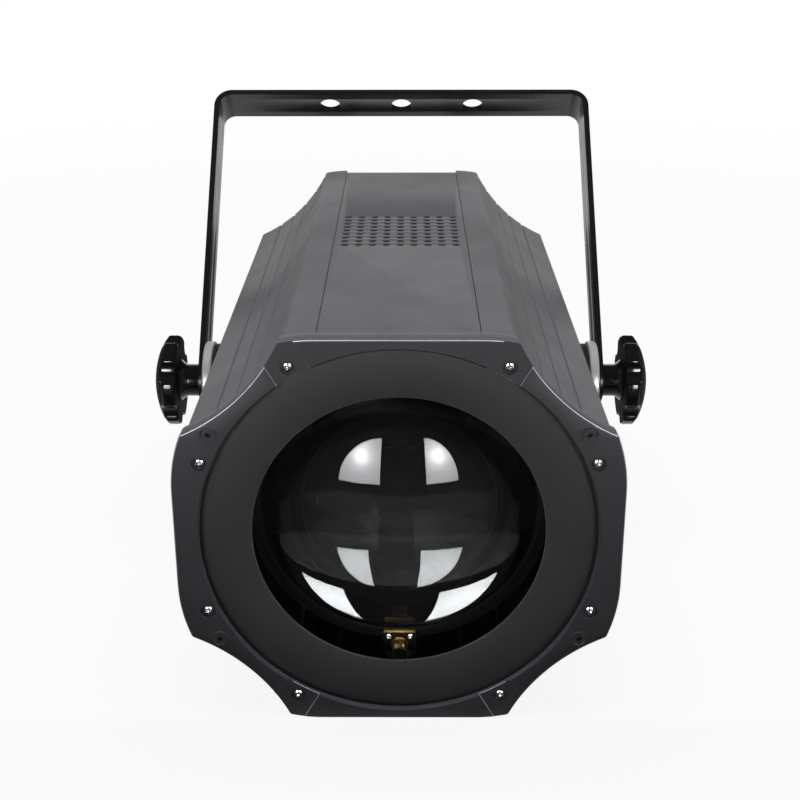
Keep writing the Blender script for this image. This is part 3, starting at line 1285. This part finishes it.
connector_face = REAR_FACE + GAP + FLANGE_THICKNESS
well_floor = connector_face - WELL_DEPTH
for label, place in zip(('power_inlet', 'power_outlet', 'data_inlet', 'data_outlet'), CONNECTOR_PLACES):
    place = np.array(place)
    body = plate([raised(oblong(place, FLANGE[0], FLANGE[1], 3.0), round_edge(REAR_FACE + GAP, connector_face, 0.6)),
                  hole(place, WELL, [(0, REAR_FACE + GAP), (0, connector_face - 0.5), (0.5, connector_face)], 48)])
    barrel = [(CONNECTOR_BODY, connector_face - FLANGE_THICKNESS / 2), (CONNECTOR_BODY, REAR_FACE - BARREL_BACK),
              (0, REAR_FACE - BARREL_BACK)]
    well = [(0, well_floor), (WELL, well_floor), (WELL, connector_face - FLANGE_THICKNESS / 2)]
    body.append(turned(np.concatenate([barrel, well]), place, 48, closed=True))
    spots = [place + CONTACT_RING * np.array((math.cos(turn), math.sin(turn)))
             for turn in math.pi / 2 + 2 * math.pi / 3 * np.arange(3)]
    contacts = []
    for spot in spots:
        if label == 'data_inlet':
            contacts.append(disc(CONTACT, connector_face - 3, well_floor - 1, 0.8, spot, 20))
        elif label == 'data_outlet':
            contacts.append(washer(CONTACT, CONTACT_SLEEVE, well_floor, connector_face - 1.6, 0.2, spot, 20))
        else:
            blade = oblong(spot, 0.8, 2.2, 0.5, 3)
            contacts += plate([raised(blade, round_edge(well_floor - 1, connector_face - 5, 0.3))])
    if label == 'data_outlet':
        insert = [bored(spot, CONTACT_SLEEVE + 0.05, well_floor + 0.2, connector_face - 1.8, 20) for spot in spots]
        body += plate([raised(ring_loop(place, WELL - 1.2, 40), [(0, well_floor + 0.2), (0, connector_face - 2.4),
                                                                 (0.6, connector_face - 1.8)])] + insert)
    elif label != 'data_inlet':
        body += plate([raised(ring_loop(place, WELL - 2.6, 40), [(0, well_floor + 0.2), (0, connector_face - 4.2),
                                                                 (0.6, connector_face - 3.6)]),
                       bored(place, 1.4, well_floor + 0.2, connector_face - 3.6)])
        body += plate([raised(oblong(place + (0, WELL - 0.9), 1.6, 1.2, 0.3, 2),
                              [(0, well_floor), (0, connector_face - 1.0)])])
    made('connector_' + label, body, 'head', moulded, label)
    pins = made('contacts_' + label, contacts, 'head', brass)
    for number, corner in enumerate((np.array((1, 1)), np.array((-1, -1))), 1):
        patches = small_screw(place + corner * CONNECTOR_SCREW, 0.4, CONNECTOR_SCREW_HEAD, CONNECTOR_SCREW_RISE,
                              REAR_FACE - connector_face, 0.3, 1.1, 0.5, rings=12, spokes=40)
        item = made('%s_screw_%d' % (label, number), patches, 'head', black_zinc, sharp=35, to_frame=facing_back)

# Fan
# A moulded black fan behind the grille: a square housing with a round duct and four struts that carry the motor
# cup, and an impeller with seven swept blades.

FAN_HALF = 40.0
FAN_DEPTH = 25.0
FAN_BACK = REAR_FRONT - GAP
FAN_FRONT = FAN_BACK - FAN_DEPTH
STRUT_DEPTH = 4.0
CUP = 15.0
HUB = 17.0
SPINDLE = 2.0
BLADES = 7
BLADE_PITCH = (math.radians(47), math.radians(27))
BLADE_CHORD = (15.5, 19.0)
BLADE_SWEEP = 0.30
BLADE_THICKNESS = 1.8
BLADE_STATIONS = 9
BLADE_POINTS = 16
TIP_GAP = 1.2

fan_place = (0, FAN_HEIGHT)
housing = [raised(oblong(fan_place, FAN_HALF, FAN_HALF, 3.0), round_edge(FAN_FRONT, FAN_BACK, 0.6)),
           hole(fan_place, FAN_BORE, [(1.2, FAN_FRONT), (0, FAN_FRONT + 2.5), (0, FAN_BACK - 2.5), (1.2, FAN_BACK)],
                96)]
housing += [bored(place + fan_place, 2.1, FAN_FRONT, FAN_BACK, 20) for place in four((FAN_SCREW, FAN_SCREW))]
strut_front = FAN_BACK - STRUT_DEPTH
frame_of_fan = plate(housing)
frame_of_fan.append(disc(CUP, strut_front, FAN_BACK, 0.8, fan_place, 64))
frame_of_fan.append(disc(SPINDLE, FAN_FRONT + 6, strut_front + 1, centre=fan_place, steps=20))
for k in range(4):
    turn = math.pi / 4 + math.pi / 2 * k
    along, aside = np.array((math.cos(turn), math.sin(turn))), np.array((-math.sin(turn), math.cos(turn)))
    reach = np.linspace(CUP - 1, FAN_BORE + 0.4, 10)[:, None]
    bend = 2.5 * np.sin(math.pi * (reach - CUP) / (FAN_BORE - CUP))
    middle = fan_place + reach * along + bend * aside
    strut = np.concatenate([middle + 1.6 * aside, (middle - 1.6 * aside)[::-1]])
    frame_of_fan += plate([raised(strut, [(0, strut_front + 0.3), (0, FAN_BACK - 0.1)])])
made('fan_housing', frame_of_fan, 'head', moulded, 'fan_frame')

hub_front, hub_back = FAN_FRONT + 1.5, FAN_BACK - STRUT_DEPTH - 3 * GAP
impeller = [washer(SPINDLE + GAP, HUB, hub_front, hub_back, 1.0, fan_place, 64)]


def blade(number):
    """A blade: an ellipse along the chord at each station, turned by a pitch that eases from root to tip."""
    share = np.linspace(0, 1, BLADE_STATIONS)[:, None]
    radius = HUB - 1 + (FAN_BORE - TIP_GAP - HUB + 1) * share
    pitch = BLADE_PITCH[0] + (BLADE_PITCH[1] - BLADE_PITCH[0]) * share
    chord = BLADE_CHORD[0] + (BLADE_CHORD[1] - BLADE_CHORD[0]) * share
    turn = full_turn(BLADE_POINTS)
    along, thick = 0.5 * np.cos(turn), 0.5 * np.sin(turn)
    camber = 1.2 * (1 - (2 * along) ** 2)
    angle = 2 * math.pi * number / BLADES + BLADE_SWEEP * share + chord * along * np.cos(pitch) / radius
    depth = (hub_front + hub_back) / 2 + chord * along * np.sin(pitch) + BLADE_THICKNESS * 0.7 * thick - camber + 0.6
    points = around(radius, depth, angle)
    caps = [list(range(BLADE_POINTS))[::-1], list(range((BLADE_STATIONS - 1) * BLADE_POINTS,
                                                        BLADE_STATIONS * BLADE_POINTS))]
    return shifted((points.reshape(-1, 3), grid_faces(BLADE_STATIONS, BLADE_POINTS).tolist() + caps), fan_place)


impeller += [blade(number) for number in range(BLADES)]
made('impeller', impeller, 'fan_rotor', moulded, 'fan_impeller', sharp=40)

circuit = powder_coat('circuit_green', (0.02, 0.12, 0.06), 0.45)
dress(circuit, 'control_board')

# Yoke
# A flat steel bar bent to a U, with round ends and three round holes for a clamp. Its edges are a little rounded
# and it is coated satin black. It is drawn flat, cut across at the bends and then bent.

YOKE_LEAN = math.radians(42.7)
YOKE_REACH = 229.4
YOKE_INNER = 136.26
YOKE_THICKNESS = 4.0
YOKE_BREADTH = 30.4
YOKE_BEND = 13.0
YOKE_HOLE = 7.6
YOKE_HOLE_PITCH = 54.2
YOKE_EDGE = 0.4
BEND_CUTS = 14

yoke_flat = YOKE_INNER + YOKE_THICKNESS - YOKE_BEND
bend_middle = YOKE_BEND - YOKE_THICKNESS / 2
bend_height = YOKE_REACH - YOKE_BEND
bend_length = bend_middle * math.pi / 2
yoke_half = yoke_flat + bend_length + bend_height


def flat_bar(points):
    """The bar before it is bent, in metres."""
    return np.asarray(points) / 1000


def bent(points):
    """From (along, outwards, across) to the leaning U: straight, a quarter turn about each bend, straight."""
    along, outward, across = np.asarray(points).T
    side, distance = np.sign(along), np.abs(along)
    turn = np.clip((distance - yoke_flat) / bend_middle, 0, math.pi / 2)
    arm = np.maximum(distance - yoke_flat - bend_length, 0)
    x = side * (np.minimum(distance, yoke_flat) + (bend_middle + outward) * np.sin(turn))
    z = bend_height + (bend_middle + outward) * np.cos(turn) - arm
    lean, rise = math.sin(YOKE_LEAN), math.cos(YOKE_LEAN)
    return in_frame(np.stack([x, PIVOT_DEPTH + across * rise + z * lean, z * rise - across * lean], -1))


def cut_and_bend(shape):
    """Cuts the flat bar across at the bends, and bends it."""
    for place in np.linspace(yoke_flat, yoke_flat + bend_length, BEND_CUTS + 1):
        for side in (-1, 1):
            bmesh.ops.bisect_plane(shape, geom=shape.verts[:] + shape.edges[:] + shape.faces[:], dist=SLIVER,
                                   plane_co=(side * place / 1000, 0, 0), plane_no=(1, 0, 0))
    for vert, place in zip(shape.verts, bent([vert.co * 1000 for vert in shape.verts])):
        vert.co = place


yoke_coat = powder_coat('yoke_satin_black', (0.008, 0.0085, 0.010), 0.30)
bar_loops = [oblong((0, 0), yoke_half + YOKE_BREADTH / 2, YOKE_BREADTH / 2, YOKE_BREADTH / 2, 14)]
bar_loops += [ring_loop((i * YOKE_HOLE_PITCH, 0), YOKE_HOLE, 40) for i in (-1, 0, 1)]
bar_loops += [ring_loop((side * yoke_half, 0), STUD + GAP, 32) for side in (-1, 1)]
yoke = made('yoke_bar', plate(sheet_walls(bar_loops, -YOKE_THICKNESS / 2, YOKE_THICKNESS / 2, YOKE_EDGE)), 'yoke',
            yoke_coat, 'yoke', to_frame=flat_bar)
remade(yoke.data, cut_and_bend)
yoke.data.shade_smooth()
yoke.data.set_sharp_from_angle(angle=math.radians(SHARP))

# Clamp stack
# On each side a dark friction spacer, a bright zinc disc with rounded rims, a plated stud with a rolled thread and
# a black knob with six lobes, gloss on the rim and matt under it and on the dome.

SPACER_INNER = panel_side + GAP
SPACER_THICKNESS = 11.3
SPACER = 25.5
DISC_INNER = SPACER_INNER + SPACER_THICKNESS + GAP
DISC_THICKNESS = 6.5
DISC = 27.2
STUD_INNER = panel_side - SHEET - PIVOT_BOSS_LENGTH
STUD_PITCH = 1.5
STUD_THREAD = 0.5
KNOB_INNER = YOKE_INNER + YOKE_THICKNESS + GAP
KNOB = 31.2
KNOB_HUB = 11.2
KNOB_HEAD = KNOB_INNER + 13.5
KNOB_RIM = KNOB_HEAD + 8.5
KNOB_DOME = 8.5
KNOB_LOBES = 6
FLUTE = 8.5
FLUTE_DEPTH = 5.0
FLARE = 15.0
FLARE_LENGTH = 6.0
KNOB_EDGE = 1.8
KNOB_SPOKES = 192
KNOB_BLEND = 0.45
STUD_IN_KNOB = 10.0
KNOB_MATT = 0.75


def beside(side):
    """Turns a piece made about the beam axis, so that it stands out to one side on the pivot."""
    def to_frame(points):
        p = np.asarray(points)
        return in_frame(np.stack([side * p[:, 1], PIVOT_DEPTH + p[:, 0], p[:, 2]], -1))
    return to_frame


def lobed(angle):
    """The knob's outline: a circle, less a flute circle between each pair of lobes, blended by a soft minimum."""
    step = 2 * math.pi / KNOB_LOBES
    off = angle % step - step / 2
    centre = KNOB - FLUTE_DEPTH + FLUTE
    inside = FLUTE ** 2 - (centre * np.sin(off)) ** 2
    dip = np.where(inside > 0, centre * np.cos(off) - np.sqrt(np.maximum(inside, 0)), KNOB + 6)
    return -KNOB_BLEND * np.log(np.exp(-(dip - KNOB) / KNOB_BLEND) + 1) + KNOB


def knob_patch():
    """The knob: rows of points from the bore over hub, flare, underside and lobed rim to the dome."""
    t = full_turn(KNOB_SPOKES)
    edge = lobed(t)
    ball = (KNOB ** 2 + KNOB_DOME ** 2) / (2 * KNOB_DOME)

    def dome(radius):
        return KNOB_RIM + KNOB_DOME - ball + np.sqrt(ball ** 2 - radius ** 2)

    round_rows = softened([(0, KNOB_INNER + STUD_IN_KNOB), (STUD + GAP, KNOB_INNER + STUD_IN_KNOB),
                           (STUD + GAP, KNOB_INNER), (KNOB_HUB, KNOB_INNER), (KNOB_HUB, KNOB_HEAD - FLARE_LENGTH)],
                          0.5)
    swing = np.linspace(0, 1, 9)[1:]
    flare = np.stack([KNOB_HUB + (FLARE - KNOB_HUB) * swing ** 2, KNOB_HEAD - FLARE_LENGTH * (1 - swing)], -1)
    rows = list(np.concatenate([round_rows, flare]))
    for share in np.linspace(0, 1, 6)[1:]:
        rows.append((FLARE + (edge - KNOB_EDGE - FLARE) * share, KNOB_HEAD))
    for a in np.linspace(0, math.pi / 2, 6)[1:]:
        rows.append((edge - KNOB_EDGE * (1 - math.sin(a)), KNOB_HEAD + KNOB_EDGE * (1 - math.cos(a))))
    for a in np.linspace(math.pi / 2, 0, 7):
        rows.append((edge - KNOB_EDGE * (1 - math.sin(a)), dome(edge) - KNOB_EDGE * (1 - math.cos(a))
                     + KNOB_EDGE * 0.2 * (1 - math.sin(a))))
    for share in np.linspace(1, 0, 16)[1:]:
        rows.append(((edge - KNOB_EDGE) * share, dome((edge - KNOB_EDGE) * share)))
    points = np.concatenate([around(radius, height, t) for radius, height in rows])
    return points.reshape(-1, 3), grid_faces(len(rows), KNOB_SPOKES).tolist()


gloss_black = Finish('knob_gloss_black', (0.008, 0.008, 0.009), 0.10, Coat_Weight=0.4, Coat_Roughness=0.04)
gloss_black.bump(gloss_black.noise(700.0, 2.0), 0.000006)
gloss_black.feed('Roughness', gloss_black.noise(60.0, 3.0) * 0.10 + 0.07)
friction_black = powder_coat('friction_black', (0.016, 0.016, 0.017), 0.55)
for side_name, side in SIDES:
    made('spacer_' + side_name, [washer(STUD + GAP, SPACER, SPACER_INNER, SPACER_INNER + SPACER_THICKNESS, 1.2)],
         'head', friction_black, 'friction_spacer_' + side_name, to_frame=beside(side))
    made('disc_' + side_name, [washer(STUD + GAP, DISC, DISC_INNER, DISC_INNER + DISC_THICKNESS, 1.8)], 'yoke', zinc,
         'pressure_disc_' + side_name, to_frame=beside(side))
    thread = threaded(STUD_INNER, KNOB_INNER + STUD_IN_KNOB - GAP, STUD, STUD_PITCH, STUD_THREAD, 28, 6)
    made('stud_' + side_name, [thread], side_name + '_knob', chrome, 'pivot_stud_' + side_name, sharp=50,
         to_frame=beside(side))
    knob = made('knob_' + side_name, [knob_patch()], side_name + '_knob', gloss_black, 'clamp_knob_' + side_name,
                sharp=40, to_frame=beside(side))
    second_finish(knob, matt_black, np.abs(of_faces(knob, 'normal')[:, 0]) > KNOB_MATT)
